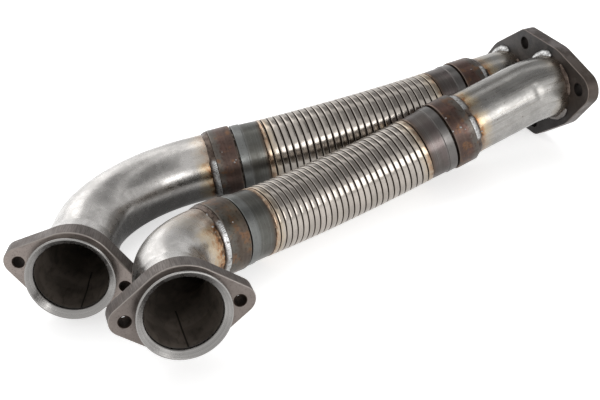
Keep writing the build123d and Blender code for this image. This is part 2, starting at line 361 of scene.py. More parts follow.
class Skin:
    """Vertices, faces and marks of one piece, laid round a line."""

    def __init__(self, route):
        self.route = route
        self.points = []
        self.faces = []
        self.lays = []
        self.marks = {}

    def add(self, distance, radius, theta, **marks):
        """Adds a vertex by its place along, out from and round the line, with its marks."""
        self.points.append(self.route.point(distance, radius, theta))
        self.lays += (radius * cos(theta), radius * sin(theta), distance)
        for key, value in marks.items():
            self.marks.setdefault(key, []).append(value)

    def ring(self, profile, around, rule, start=0, sweep=tau):
        """Carries a closed profile round the line; rule gives each vertex's shift and marks."""
        whole = sweep == tau
        columns = around if whole else around + 1
        base = len(self.points)
        for distance, radius in profile:
            for j in range(columns):
                theta = start + sweep * j / around
                along, out, marks = rule(distance, radius, theta)
                self.add(distance + along, radius + out, theta, **marks)
        rows = len(profile)
        for i in range(rows):
            a = base + i * columns
            b = base + (i + 1) % rows * columns
            for j in range(around):
                k = (j + 1) % columns
                self.faces.append((a + j, a + k, b + k, b + j))
        if not whole:
            self.faces.append([base + i * columns for i in range(rows)])
            self.faces.append([base + i * columns + around for i in reversed(range(rows))])

    def piece(self, name, node, finish, slot):
        """Makes the piece, closes its seams and hides the CAD node that it stands for."""
        mesh = bpy.data.meshes.new(name)
        mesh.from_pydata(self.points, [], self.faces)
        put_marks(mesh, self.lays, self.marks)
        shell = bmesh.new()
        shell.from_mesh(mesh)
        bmesh.ops.remove_doubles(shell, verts=shell.verts, dist=1e-7)
        shell.to_mesh(mesh)
        shell.free()
        piece = new_piece(mesh, finish)
        piece.modifiers.new("Even Shading", "WEIGHTED_NORMAL")
        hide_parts(node)


def put_marks(mesh, lays, marks):
    """Gives each vertex the place and the marks that its finish reads."""
    mesh.attributes.new("lay", "FLOAT_VECTOR", "POINT").data.foreach_set("vector", lays)
    for key, values in marks.items():
        mesh.attributes.new(key, "FLOAT", "POINT").data.foreach_set("value", values)


def new_piece(mesh, finish):
    """Makes a smooth piece of a mesh, with its finish, on the pipe's one body."""
    mesh.polygons.foreach_set("use_smooth", [True] * len(mesh.polygons))
    mesh.materials.append(finish)
    piece = bpy.data.objects.new(mesh.name, mesh)
    bpy.context.scene.collection.objects.link(piece)
    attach(piece, "root")
    return piece


# Tint, the distances from a weld's toe where it starts and is full, and its strength.
HEAT_ZONES = (
    ("straw", 0.018, 0.004, 0.75),
    ("rust", 0.008, 0.002, 0.95),
    ("burnt", 0.0026, 0, 0.85),
)
BROWN_DUST = (0.085, 0.058, 0.042)
WHITE = (1, 1, 1)
BLACK = (0, 0, 0)


def toned(shade, amount):
    """A colour made darker or lighter by an amount."""
    return tuple(amount * part for part in shade)


class Graph:
    """The nodes of a material or of the world, added one at a time."""

    def __init__(self, block, shader="Principled BSDF"):
        block.use_nodes = True
        self.block = block
        self.tree = block.node_tree
        self.shader = self.tree.nodes[shader]

    def add(self, kind, *given, **settings):
        """Adds a node, sets its options and feeds its first sockets."""
        node = self.tree.nodes.new("ShaderNode" + kind)
        for key, value in settings.items():
            setattr(node, key, value)
        for socket, value in zip(node.inputs, given):
            self.feed(socket, value)
        return node

    def feed(self, socket, value):
        """Links a socket into another, or sets a plain value on it."""
        if isinstance(value, bpy.types.NodeSocket):
            self.tree.links.new(value, socket)
        else:
            socket.default_value = (*value, 1) if socket.type == "RGBA" else value

    def result(self, **values):
        """Feeds the shader's sockets, named with _ for a space, and gives the finished block."""
        for name, value in values.items():
            self.feed(self.shader.inputs[name.replace("_", " ")], value)
        return self.block

    def mark(self, name, output="Fac"):
        """A mark that the piece's vertices carry."""
        return self.add("Attribute", attribute_name=name).outputs[output]

    def math(self, operation, first, second=0.0):
        """One sum on two numbers."""
        return self.add("Math", first, second, operation=operation).outputs[0]

    def plus(self, base, value, share=1.0):
        """A number plus a share of another."""
        if share != 1:
            value = self.math("MULTIPLY", value, share)
        return self.math("ADD", base, value)

    def span(self, value, low, high, start=0.0, end=1.0):
        """A number remapped from low..high to start..end and held there."""
        node = self.add("MapRange", value, low, high, start, end, interpolation_type="SMOOTHSTEP")
        return node.outputs[0]

    def mix(self, factor, first, second):
        """Two colours mixed by a factor."""
        node = self.add("Mix", data_type="RGBA")
        for name, given in (("Factor_Float", factor), ("A_Color", first), ("B_Color", second)):
            self.feed(next(socket for socket in node.inputs if socket.identifier == name), given)
        return node.outputs[2]

    def patch(self, shade, value, low, high, tint, share=1.0):
        """A shade with a tint over it where a value passes from low to high, by at most the share."""
        return self.mix(self.span(value, low, high, 0.0, share), shade, tint)

    def dim(self, shade, mark, share, tint):
        """A shade with a share of a tint over it wherever a mark is 1."""
        return self.mix(self.math("MULTIPLY", mark, share), shade, tint)

    def stretched(self, vector, scale):
        """A vector scaled by a different amount each way."""
        return self.add("VectorMath", vector, scale, operation="MULTIPLY").outputs[0]

    def noise(self, vector, size, detail=4.0, roughness=0.55, distortion=0.0):
        """Noise from 0 to 1 with features of the given size in metres."""
        node = self.add("TexNoise", vector)
        node.inputs["Scale"].default_value = 1 / size
        node.inputs["Detail"].default_value = detail
        node.inputs["Roughness"].default_value = roughness
        node.inputs["Distortion"].default_value = distortion
        return node.outputs[0]

    def specks(self, vector, size, share, radius):
        """1 in small round specks, one in some cells of the given size, else 0."""
        node = self.add("TexVoronoi", vector)
        node.inputs["Scale"].default_value = 1 / size
        chosen = self.math("LESS_THAN", self.split(node.outputs["Color"]), share)
        near = self.span(node.outputs["Distance"], radius, radius * 0.5)
        return self.math("MULTIPLY", chosen, near)

    def split(self, vector, axis=0):
        """One part of a vector or colour."""
        return self.add("SeparateXYZ", vector).outputs[axis]

    def bump(self, height, depth, below=None):
        """A surface normal roughened by a height from 0 to 1 that stands for a depth in metres."""
        node = self.add("Bump")
        node.inputs["Distance"].default_value = depth
        self.feed(node.inputs["Height"], height)
        if below:
            self.feed(node.inputs["Normal"], below)
        return node.outputs[0]

    def size(self, vector):
        """How long a vector is."""
        return self.add("VectorMath", vector, operation="LENGTH").outputs["Value"]

    def rings(self, lay, size):
        """Fine lines that run round the tube, as turning and brushing leave them."""
        radius = self.size(self.stretched(lay, (1, 1, 0)))
        place = self.add("CombineXYZ", radius, self.split(lay, 2))
        return self.noise(place.outputs[0], size, 2)

    def seen_as_white(self):
        """1 for camera, glossy and transmission rays, which see the plain white background."""
        rays = self.add("LightPath").outputs
        direct = self.math("MAXIMUM", rays["Is Camera Ray"], rays["Is Glossy Ray"])
        return self.math("MAXIMUM", direct, rays["Is Transmission Ray"])

    def heat_tint(self, distance, lay, shade, strength, reach=1.0):
        """The colours that heat leaves on steel, by distance from the weld's toe."""
        shades = bpy.context.scene.finish_colours
        uneven = self.math("SUBTRACT", self.noise(lay, 0.008, 4, 0.6), 0.5)
        shifted = self.plus(distance, uneven, 0.014 * reach)
        patches = self.span(self.noise(lay, 0.0055, 4, 0.6), 0.36, 0.60, 0.25, 1.0)
        for tint, start, end, share in HEAT_ZONES:
            amount = self.span(shifted, start * reach, end * reach, 0.0, share)
            amount = self.math("MULTIPLY", amount, strength)
            if tint == "rust":
                amount = self.math("MULTIPLY", amount, patches)
            shade = self.mix(amount, shade, getattr(shades, tint))
        return shade


@cache
def tube_finish(kind):
    """Satin drawn steel, mottled and scratched, with heat tint by the welds and a dull bore, partly
    painted shade.
    """
    shades = bpy.context.scene.finish_colours
    graph = Graph(bpy.data.materials.new(f"satin_{kind}_steel"))
    outlet = kind == "outlet_tube"
    lay = graph.mark("lay", "Vector")
    base = getattr(shades, kind)
    dirt = tuple(0.55 * part * warm for part, warm in zip(base, (1.05, 1.0, 0.95)))
    patches = graph.noise(lay, 0.024, 5, 0.6)
    mottle = graph.noise(lay, 0.0024, 5, 0.65)
    drawn = graph.noise(graph.stretched(lay, (1, 1, 0.02)), 0.0019 if outlet else 0.0011, 4)
    smears = graph.noise(graph.stretched(lay, (1, 1, 0.6)), 0.009, 4, 0.6, 0.4)
    shade = graph.patch(base, patches, 0.36, 0.62, toned(base, 0.80))
    shade = graph.patch(shade, smears, 0.50, 0.66, toned(base, 0.66), 0.45)
    shade = graph.patch(shade, mottle, 0.52, 0.72, dirt, 0.16 if outlet else 0.38)
    shade = graph.patch(shade, drawn, 0.48, 0.66, dirt, 0.55 if outlet else 0.15)
    pits = graph.specks(lay, 0.0075, 0.25, 0.10)
    pits = graph.math("MULTIPLY", pits, graph.plus(1.0, graph.mark("bright"), -1.0))
    shade = graph.dim(shade, pits, 0.7, (0.07, 0.05, 0.04))
    shade = graph.heat_tint(graph.mark("warm"), lay, shade, graph.mark("hot"))
    inside = graph.mark("bore")
    shade = graph.mix(inside, shade, bore_shade(graph, lay))
    lip = graph.patch(shades.lip, graph.rings(lay, 0.0007), 0.35, 0.68, toned(shades.lip, 0.72))
    shade = graph.mix(graph.mark("bright"), shade, lip)
    roughness = graph.span(smears, 0.35, 0.65, 0.20, 0.30)
    roughness = graph.plus(roughness, graph.span(mottle, 0.3, 0.7, 0.0, 0.04))
    roughness = graph.plus(roughness, inside, 0.14)
    height = graph.plus(mottle, pits, -1.2)
    normal = graph.bump(drawn, 0.00002 if outlet else 0.00001, graph.bump(height, 0.00002))
    metal = graph.plus(1.0, inside, -0.8)
    return graph.result(Base_Color=shade, Roughness=roughness, Normal=normal, Metallic=metal)


def bore_shade(graph, lay):
    """Dull brown-grey inside of a tube, partly painted shade, with streaks of painted shade and its dark
    weld seam.
    """
    base = bpy.context.scene.finish_colours.bore
    shade = graph.patch(base, graph.noise(lay, 0.018, 4), 0.40, 0.62, toned(base, 0.62))
    # Dark streaks inside the bore: painted shade.
    painted_shade_streaks = graph.noise(graph.stretched(lay, (1, 1, 0.3)), 0.004, 4)
    shade = graph.patch(shade, painted_shade_streaks, 0.50, 0.70, (0.05, 0.040, 0.032), 0.5)
    return graph.patch(shade, graph.mark("apart"), 0.0010, 0.0004, (0.012, 0.009, 0.007))


@cache
def hose_finish():
    """Bright rolled strip with dark grooves, brown dust at their edges and a straw tint at the ends."""
    shades = bpy.context.scene.finish_colours
    graph = Graph(bpy.data.materials.new("bright_hose_strip"))
    lay = graph.mark("lay", "Vector")
    dull = toned(shades.hose, 0.6)
    patches = graph.noise(lay, 0.014, 4, 0.6)
    rolled = graph.rings(lay, 0.0012)
    shade = graph.patch(toned(shades.hose, 0.92), patches, 0.36, 0.66, toned(shades.hose, 1.1))
    shade = graph.patch(shade, rolled, 0.50, 0.75, dull, 0.22)
    shade = graph.dim(shade, graph.mark("turn"), 0.22, dull)
    shade = graph.heat_tint(graph.mark("warm"), lay, shade, 0.55, 0.9)
    groove = graph.mark("groove")
    shade = graph.patch(shade, groove, 0.0, 0.5, BROWN_DUST, 0.8)
    shade = graph.patch(shade, groove, 0.5, 1.0, shades.groove)
    roughness = graph.span(patches, 0.3, 0.7, 0.15, 0.24)
    roughness = graph.plus(roughness, groove, 0.4)
    uneven = graph.noise(graph.stretched(lay, (1, 1, 0.5)), 0.009, 2)
    normal = graph.bump(uneven, 0.00010, graph.bump(rolled, 0.000008))
    return graph.result(Base_Color=shade, Roughness=roughness, Normal=normal, Metallic=1)


@cache
def collar_finish():
    """Pressed steel with lines round it, a blue-grey band and a brown tint at the hose."""
    shades = bpy.context.scene.finish_colours
    graph = Graph(bpy.data.materials.new("pressed_collar_steel"))
    lay = graph.mark("lay", "Vector")
    lines = graph.rings(lay, 0.0010)
    patches = graph.noise(lay, 0.017, 4, 0.55)
    fine = graph.noise(lay, 0.0022, 5, 0.65)
    shade = graph.mix(graph.mark("brown"), shades.collar, shades.brown_collar)
    shade = graph.patch(shade, patches, 0.38, 0.62, (0.075, 0.070, 0.062), 0.55)
    shade = graph.mix(graph.mark("band"), shade, shades.band)
    shade = graph.patch(shade, lines, 0.50, 0.72, (0.21, 0.205, 0.195), 0.35)
    shade = graph.patch(shade, fine, 0.54, 0.72, (0.055, 0.048, 0.042), 0.45)
    shade = graph.mix(graph.mark("burn"), shade, BROWN_DUST)
    roughness = graph.span(patches, 0.3, 0.7, 0.27, 0.40)
    normal = graph.bump(graph.plus(fine, lines, 0.3), 0.00005)
    return graph.result(Base_Color=shade, Roughness=roughness, Normal=normal, Metallic=1)


@cache
def sleeve_finish():
    """Turned sleeve heated to maroon or olive brown, grey beside its weld, with rust patches and a painted
    highlight along its rounded edges.
    """
    shades = bpy.context.scene.finish_colours
    graph = Graph(bpy.data.materials.new("heated_sleeve_steel"))
    lay = graph.mark("lay", "Vector")
    zones = graph.noise(lay, 0.026, 3, 0.5)
    fine = graph.noise(lay, 0.0030, 5, 0.65)
    turned = graph.rings(lay, 0.0012)
    shade = graph.mix(graph.mark("olive"), shades.maroon, shades.olive)
    shade = graph.patch(shade, zones, 0.40, 0.62, (0.066, 0.050, 0.043), 0.7)
    toe = graph.plus(graph.mark("toe"), graph.math("SUBTRACT", fine, 0.5), 0.014)
    shade = graph.patch(shade, toe, 0.0095, 0.0030, (0.105, 0.102, 0.092), 0.75)
    shade = graph.patch(shade, graph.noise(lay, 0.010, 4, 0.6), 0.52, 0.64, (0.165, 0.088, 0.048), 0.7)
    shade = graph.patch(shade, fine, 0.50, 0.68, (0.045, 0.034, 0.029), 0.65)
    shade = graph.patch(shade, turned, 0.52, 0.75, (0.17, 0.14, 0.12), 0.22)
    # Painted highlight: the rounded outer edges are painted lighter.
    shade = graph.dim(shade, graph.mark("edge"), 0.5, (0.16, 0.135, 0.115))
    roughness = graph.span(zones, 0.3, 0.7, 0.30, 0.44)
    normal = graph.bump(graph.plus(fine, turned, 0.25), 0.00009)
    return graph.result(Base_Color=shade, Roughness=roughness, Normal=normal, Metallic=1)


@cache
def weld_finish():
    """Weld metal: bright rippled stretches broken by dark pits, between brown-grey oxide."""
    shades = bpy.context.scene.finish_colours
    graph = Graph(bpy.data.materials.new("rippled_weld_metal"))
    lay = graph.mark("lay", "Vector")
    patches = graph.noise(lay, 0.0042, 4, 0.6)
    crust = graph.noise(lay, 0.0021, 3, 0.6)
    oxide = graph.patch(shades.oxide, patches, 0.4, 0.62, (0.105, 0.082, 0.068))
    bare = graph.patch(shades.weld, crust, 0.46, 0.64, (0.27, 0.265, 0.26))
    bare = graph.patch(bare, patches, 0.57, 0.66, (0.10, 0.085, 0.073), 0.75)
    shade = graph.mix(graph.mark("bright"), oxide, bare)
    roughness = graph.span(patches, 0.3, 0.7, 0.24, 0.42)
    normal = graph.bump(graph.plus(crust, patches), 0.00010)
    return graph.result(Base_Color=shade, Roughness=roughness, Normal=normal, Metallic=1)


# How far the bolt holes are from the middle, and the radius that takes in their walls.
INLET_BOLTS = 0.048
END_BOLTS = 0.0865
MIDDLE_BOLTS = 0.042
INLET_BOLT_WALL = 0.0059
OUTLET_BOLT_WALL = 0.0072

# Painted light: how much lighter or darker than their colour the inlet flanges' faces are painted, the
# left face lit brighter and the right a little darker.
PAINTED_FACE_LIGHT = {"right": 0.95, "left": 1.45}


class FlangeGraph(Graph):
    """A flange's nodes, with coordinates in the flange's own frame: Z is 0 on its front face."""

    def __init__(self, name, station):
        super().__init__(bpy.data.materials.new(name))
        place = self.add("TexCoord").outputs["Object"]
        turn = station.to_euler()
        frame_place = self.add("Mapping", place, station.to_translation(), turn, vector_type="TEXTURE")
        self.local = frame_place.outputs[0]
        normal = self.add("NewGeometry").outputs["Normal"]
        facing = self.add("VectorMath", normal, station.col[2].to_3d(), operation="DOT_PRODUCT")
        self.square = self.math("ABSOLUTE", facing.outputs["Value"])

    def hole(self, x, y, radius):
        """1 on the walls of the holes at plus and minus x and y, else 0."""
        away = [
            self.math("SUBTRACT", self.math("ABSOLUTE", self.split(self.local, axis)), middle)
            for axis, middle in ((0, x), (1, y))
        ]
        return self.math("LESS_THAN", self.size(self.add("CombineXYZ", *away).outputs[0]), radius)

    def edged(self, rim, face, share, tint):
        """The rim's shade, the faces' shade, and a lighter tint along the edges between them, partly wear
        and partly a painted highlight.
        """
        shade = self.patch(rim, self.square, 0.75, 0.98, face)
        past_rim = self.span(self.square, 0.12, 0.35)
        # Wear and painted highlight: the rounded edges between rim and faces are tinted lighter.
        worn_and_highlit = self.math("MULTIPLY", past_rim, self.span(self.square, 0.97, 0.80))
        return self.dim(shade, worn_and_highlit, share, tint)


def inlet_flange_finish(side, station):
    """Brown-grey faces with painted light by side, rim grained across its thickness, edges lighter with
    wear and a painted highlight, and bolt holes painted dark as painted shade.
    """
    graph = FlangeGraph(side + "_flange_steel", station)
    # The face colour carries painted light, lighter on the left flange as if it were lit more.
    base = toned(bpy.context.scene.finish_colours.flange, PAINTED_FACE_LIGHT[side])
    stains = graph.noise(graph.local, 0.016, 4, 0.6)
    grit = graph.noise(graph.local, 0.0016, 5, 0.65)
    face = graph.patch(base, stains, 0.38, 0.64, toned(base, 1.28))
    face = graph.patch(face, grit, 0.52, 0.70, (0.062, 0.050, 0.043), 0.6)
    grain = graph.noise(graph.stretched(graph.local, (1, 1, 0.05)), 0.0008, 4, 0.65)
    rim = graph.patch((0.072, 0.061, 0.056), grain, 0.36, 0.66, (0.150, 0.132, 0.122))
    rim = graph.patch(rim, stains, 0.45, 0.68, (0.105, 0.084, 0.074), 0.5)
    # Edges tinted lighter: partly wear, partly a painted highlight.
    shade = graph.edged(rim, face, 0.7, (0.36, 0.33, 0.305))
    hole = graph.hole(INLET_BOLTS, 0, INLET_BOLT_WALL)
    # Painted shade: the bolt holes' walls are painted nearly black.
    shade = graph.mix(hole, shade, (0.030, 0.020, 0.015))
    roughness = graph.span(stains, 0.3, 0.7, 0.32, 0.46)
    roughness = graph.plus(roughness, hole, 0.3)
    roughness = graph.plus(roughness, graph.span(graph.square, 0.6, 0.2, 0.0, 0.12))
    normal = graph.bump(graph.plus(grit, grain, 0.5), 0.00010)
    return graph.result(Base_Color=shade, Roughness=roughness, Normal=normal, Metallic=0.92)


def outlet_flange_finish(station):
    """Blue-black scale, brown on the rim and the edges, edges lighter with wear and a painted highlight, a
    face painted darker towards its lower edge as painted shade, and bolt holes painted dark as painted
    shade.
    """
    graph = FlangeGraph("scaled_flange_steel", station)
    scale = bpy.context.scene.finish_colours.scale
    stains = graph.noise(graph.local, 0.016, 5, 0.65)
    grit = graph.noise(graph.local, 0.0018, 5, 0.65)
    face = graph.patch(scale, stains, 0.42, 0.62, (0.080, 0.073, 0.070))
    face = graph.patch(face, grit, 0.56, 0.74, (0.12, 0.105, 0.096), 0.5)
    rim = graph.patch((0.145, 0.125, 0.120), stains, 0.40, 0.60, (0.066, 0.053, 0.048))
    rim = graph.patch(rim, grit, 0.52, 0.72, (0.040, 0.033, 0.029), 0.5)
    brown = graph.span(graph.split(graph.local, 0), 0.045, 0.085, 0.0, 0.75)
    rim = graph.mix(brown, rim, (0.066, 0.050, 0.039))
    # Painted shade: the face is painted darker towards its lower edge.
    face = graph.patch(face, graph.split(graph.local, 1), 0.0, -0.035, (0.022, 0.019, 0.018), 0.95)
    face = graph.dim(face, brown, 0.5, (0.070, 0.048, 0.036))
    # Edges tinted lighter: partly wear, partly a painted highlight.
    shade = graph.edged(rim, face, 0.65, (0.19, 0.160, 0.140))
    end_hole = graph.hole(END_BOLTS, 0, OUTLET_BOLT_WALL)
    hole = graph.math("MAXIMUM", end_hole, graph.hole(0, MIDDLE_BOLTS, OUTLET_BOLT_WALL))
    # Painted shade: the bolt holes' walls are painted nearly black.
    shade = graph.mix(hole, shade, (0.018, 0.014, 0.012))
    roughness = graph.span(stains, 0.3, 0.7, 0.36, 0.55)
    normal = graph.bump(graph.plus(stains, grit, 0.6), 0.00025)
    return graph.result(Base_Color=shade, Roughness=roughness, Normal=normal, Metallic=0.8)


# Where the weld seam inside each mouth lies and how far in it shows.
SEAM_ANGLES = {"right": 259, "left": 261}
SEAM_LENGTH = 0.07

# How far behind the lip's edge its brushed finish starts and is full.
LIP_START = 0.0085
LIP_FULL = 0.0060

# Roundings of a tube's cut ends, of the cone behind a mouth, of the flare's roots and of its lip.
CUT_EDGE = 0.0003
FLANGE_END_EDGE = 0.0004
CONE_EDGE = 0.006
FLARE_OUTER_EDGE = 0.0012
FLARE_INNER_EDGE = 0.0035
LIP_ROUNDNESS = 0.98

# How fast each inlet tube's heat tint fades along it; less is further.
TINT_FADE = {"right": 0.30, "left": 0.9}

# Place, reach to each side, depth and (middle angle, half width) stretches of the crease inside a bend.
CREASE = 0.0455
CREASE_REACH = 0.004
CREASE_DEPTH = 0.0006
CREASES = {"right": ((10, 12),), "left": ()}

# (middle angle, half width) stretches where a bead is bright and its heat tint full, and where they fade.
STRETCH_FADE = 7
BRIGHT_STRETCHES = {
    ("right", "inlet"): ((-8, 44),),
    ("right", "outlet"): ((5, 17), (66, 20)),
    ("left", "inlet"): ((-16, 32),),
    ("left", "outlet"): ((20, 30),),
}

# How far from the outlet flange its heat tint starts, and (size, bright) of the stitches round an outlet
# tube, from its right side on.
STITCH_TOE = 0.002
STITCHES = ((0.55, 0.0), (1.0, 0.9), (1.0, 0.9), (0.7, 0.25))

# Unevenness of a hose's turns and depth of a collar's dents.
TURN_LIFT = 0.00006
DENT_DEPTH = 0.0001

# Seeds of the scattered drops, and how far from the bead they start and reach.
SPATTER_SEEDS = {"right": 11, "left": 23}
SPATTER_START = 0.002
SPATTER_REACH = 0.016

# (distance from the weld, angle, radius in mm) of the larger drops.
SPATTER = {
    ("right", "inlet"): ((0.0058, 60, 1.3), (0.0107, 36, 1.1), (0.0117, 57, 0.7), (-0.010, 30, 0.7)),
    ("right", "outlet"): ((-0.0213, 18, 1.1), (-0.0125, 18, 1.3), (-0.0205, 42, 0.8), (-0.0090, 12, 0.8)),
    ("left", "inlet"): ((-0.0175, 9, 1.1), (-0.0194, 12, 0.7), (-0.0080, 30, 0.6)),
    ("left", "outlet"): ((-0.0100, 50, 0.7),),
}


def between(theta, middle):
    """How far apart two angles are."""
    return abs((theta - middle + pi) % tau - pi)


def bright_stretch(theta, stretches):
    """1 inside the (middle, half width) stretches in degrees, 0 well outside them."""
    shares = [
        fade(between(theta, radians(middle)), radians(half + STRETCH_FADE), radians(half))
        for middle, half in stretches
    ]
    return max(shares, default=0)


class PipeOperator:
    """What every step of the build shares."""

    bl_options = {"REGISTER", "UNDO"}

    def execute(self, context):
        """Makes this step's pieces on both lines."""
        for side in SIDES:
            self.make(context.scene, side, Route(side))
        return {"FINISHED"}


class JointOperator(PipeOperator):
    """What the steps share that work on both ends of each hose."""

    def make(self, scene, side, route):
        """Makes the pieces at both ends of one hose."""
        for joint in route.joints:
            self.make_joint(scene, side, route, joint)


class PIPE_OT_inlet_tubes(PipeOperator, bpy.types.Operator):
    """Bends the two inlet tubes, with sized mouths flared to round rims"""

    bl_idname = "pipe.inlet_tubes"
    bl_label = "Inlet Tubes"

    def make(self, scene, side, route):
        """Makes one inlet tube."""
        sizes = scene.pipe_sizes
        half = sizes.wall / 2
        tube, mouth = sizes.inlet_tube, sizes.mouth
        seat = route.inlet_weld - sizes.seat
        cone = route.lip - sizes.mouth_sized
        root = cone - sizes.mouth_cone
        centre = Vector((route.lip - half, sizes.rim - half))
        along = Vector((cos(sizes.flare), sin(sizes.flare)))
        across = Vector((-along.y, along.x))
        outer_tip = centre + (along + across) * half
        inner_tip = centre + (along - across) * half

        def flare_start(face, radius):
            """Where the outer face, 1, or the inner face, -1, of the flare meets the sized part."""
            foot = centre + across * half * face
            return foot.x - (foot.y - radius) / tan(sizes.flare)

        profile = outline((
            (seat, tube, CUT_EDGE),
            (root, tube, CONE_EDGE),
            (cone, mouth, CONE_EDGE),
            (flare_start(1, mouth), mouth, FLARE_OUTER_EDGE),
            (outer_tip.x, outer_tip.y, half * LIP_ROUNDNESS),
            (inner_tip.x, inner_tip.y, half * LIP_ROUNDNESS),
            (flare_start(-1, mouth - sizes.wall), mouth - sizes.wall, FLARE_INNER_EDGE),
            (cone, mouth - sizes.wall, CONE_EDGE),
            (root, tube - sizes.wall, CONE_EDGE),
            (seat, tube - sizes.wall, CUT_EDGE),
        ))
        seam_angle = radians(SEAM_ANGLES[side])
        toe = route.inlet_weld + scene.weld_sizes.leg

        def rule(distance, radius, theta):
            """Marks of one vertex."""
            behind_lip = route.lip - distance
            wall = tube - half + (mouth - tube) * fade(distance, root, cone)
            inside = fade(behind_lip, LIP_FULL, LIP_START) if radius < wall else 0
            seam_shows = inside and behind_lip < SEAM_LENGTH
            return 0, 0, {
                "warm": max(0, distance - toe) * TINT_FADE[side],
                "hot": 0.35 + 0.65 * bright_stretch(theta, BRIGHT_STRETCHES[side, "inlet"]),
                "bore": inside,
                "bright": fade(behind_lip, LIP_START, LIP_FULL),
                "apart": between(theta, seam_angle) * radius if seam_shows else 1,
            }

        skin = Skin(route)
        skin.ring(profile, AROUND["tube"], rule, seam_angle)
        skin.piece(f"{side}_bent_inlet_tube", f"{side}_inlet_tube", tube_finish("inlet_tube"), "tube")


class PIPE_OT_outlet_tubes(PipeOperator, bpy.types.Operator):
    """Bends the two outlet tubes between the sleeves and the outlet flange"""

    bl_idname = "pipe.outlet_tubes"
    bl_label = "Outlet Tubes"

    def make(self, scene, side, route):
        """Makes one outlet tube."""
        sizes = scene.pipe_sizes
        seat = route.outlet_weld + sizes.seat
        profile = outline((
            (sizes.recess, sizes.outlet_tube, FLANGE_END_EDGE),
            (seat, sizes.outlet_tube, CUT_EDGE),
            (seat, sizes.outlet_tube - sizes.wall, CUT_EDGE),
            (sizes.recess, sizes.outlet_tube - sizes.wall, FLANGE_END_EDGE),
        ))
        toe = route.outlet_weld - scene.weld_sizes.leg

        def rule(distance, radius, theta):
            """Marks of one vertex, and the crease inside the right-hand bend."""
            inside = 1.0 if radius < sizes.outlet_tube - sizes.wall / 2 else 0.0
            crease = fade(abs(distance - CREASE), CREASE_REACH, 0) * bright_stretch(theta, CREASES[side])
            stretch = bright_stretch(theta, BRIGHT_STRETCHES[side, "outlet"])
            at_plate = distance < route.outlet_weld / 2
            return 0, 0 if inside else -CREASE_DEPTH * crease, {
                "warm": max(0, min(toe - distance, distance - sizes.plate - STITCH_TOE)),
                "hot": 0.3 if at_plate else 0.45 + 0.55 * stretch,
                "bore": inside,
                "bright": 0.0,
                "apart": 1.0,
            }

        skin = Skin(route)
        skin.ring(profile, AROUND["tube"], rule)
        skin.piece(f"{side}_bent_outlet_tube", f"{side}_outlet_tube", tube_finish("outlet_tube"), "tube")


class PIPE_OT_hoses(PipeOperator, bpy.types.Operator):
    """Winds the two interlocked hoses, each on its plain neck"""

    bl_idname = "pipe.hoses"
    bl_label = "Interlocked Hoses"

    def make(self, scene, side, route):
        """Makes one hose: its necks and bore as one ring that is open where the strip goes."""
        sizes = scene.pipe_sizes
        around = AROUND["hose"]
        neck_reach = sizes.collar + sizes.gap + sizes.sleeve - sizes.seat
        ends = (route.hose_start - neck_reach, route.hose_end + neck_reach)
        collar_ends = (route.hose_start, route.hose_end)
        profile = [(distance, sizes.neck) for distance in (ends[0], *collar_ends, ends[1])]
        bore = sizes.neck - sizes.neck_wall
        profile += [(distance, bore) for distance in spread(ends[1], ends[0], 0.006)]

        def rule(distance, radius, theta):
            """Marks of one vertex of the necks and the bore."""
            joined = distance in collar_ends
            return 0, 0, {"warm": 0.0 if joined else 1.0, "groove": 1.0 if joined else 0.8, "turn": 0.0}

        skin = Skin(route)
        skin.ring(profile, around, rule)
        del skin.faces[around:2 * around]
        self.wind(sizes, route, skin, around)
        skin.piece(f"{side}_wound_hose", f"{side}_hose", hose_finish(), "hose")

    def wind(self, sizes, route, skin, around):
        """Adds the wound strip, a helix of lands and grooves that closes on the necks at both ends."""
        turn_profile = self.turn_profile(sizes)
        steps = len(turn_profile)
        turns = floor(sizes.hose / sizes.pitch) + 2
        base = len(skin.points)
        rows = turns * steps
        for row in range(rows + 1):
            share, drop, groove = turn_profile[row % steps]
            turn = row // steps
            for j in range(around):
                theta = tau * j / around
                distance = (turn - 1 + share + j / around) * sizes.pitch
                held = min(max(distance, 0), sizes.hose)
                lift = TURN_LIFT * (wobble((turn * 3.1, cos(theta), sin(theta)), 1.4) - 1)
                radius = sizes.crest - drop + lift if 0 < distance < sizes.hose else sizes.neck
                skin.add(
                    route.hose_start + held, radius, theta, warm=min(held, sizes.hose - held),
                    groove=groove, turn=noise.cell(Vector((turn, 3, 7))),
                )
        last = len(skin.points) - base
        for row in range(rows):
            for j in range(around):
                a = row * around + j
                b = a + 1 if j < around - 1 else (row + steps) * around
                corners = (a, b, b + around, a + around)
                if max(corners) < last:
                    skin.faces.append([base + corner for corner in corners])

    def turn_profile(self, sizes):
        """(share of the pitch, drop from the crest, groove mark) across one turn of the strip."""
        half = sizes.groove_width / sizes.pitch / 2
        depth = sizes.groove
        return (
            (0.0, depth, 1.0),
            (half * 0.75, depth * 0.97, 1.0),
            (half * 0.98, depth * 0.55, 0.9),
            (half * 1.25, depth * 0.16, 0.1),
            (half * 1.80, depth * 0.02, 0.0),
            (0.30, 0.0, 0.0),
            (0.50, depth * 0.02, 0.0),
            (0.72, depth * 0.06, 0.0),
            (1 - half * 1.90, depth * 0.13, 0.0),
            (1 - half * 1.35, depth * 0.25, 0.1),
            (1 - half * 1.00, depth * 0.62, 0.9),
            (1 - half * 0.75, depth * 0.97, 1.0),
        )


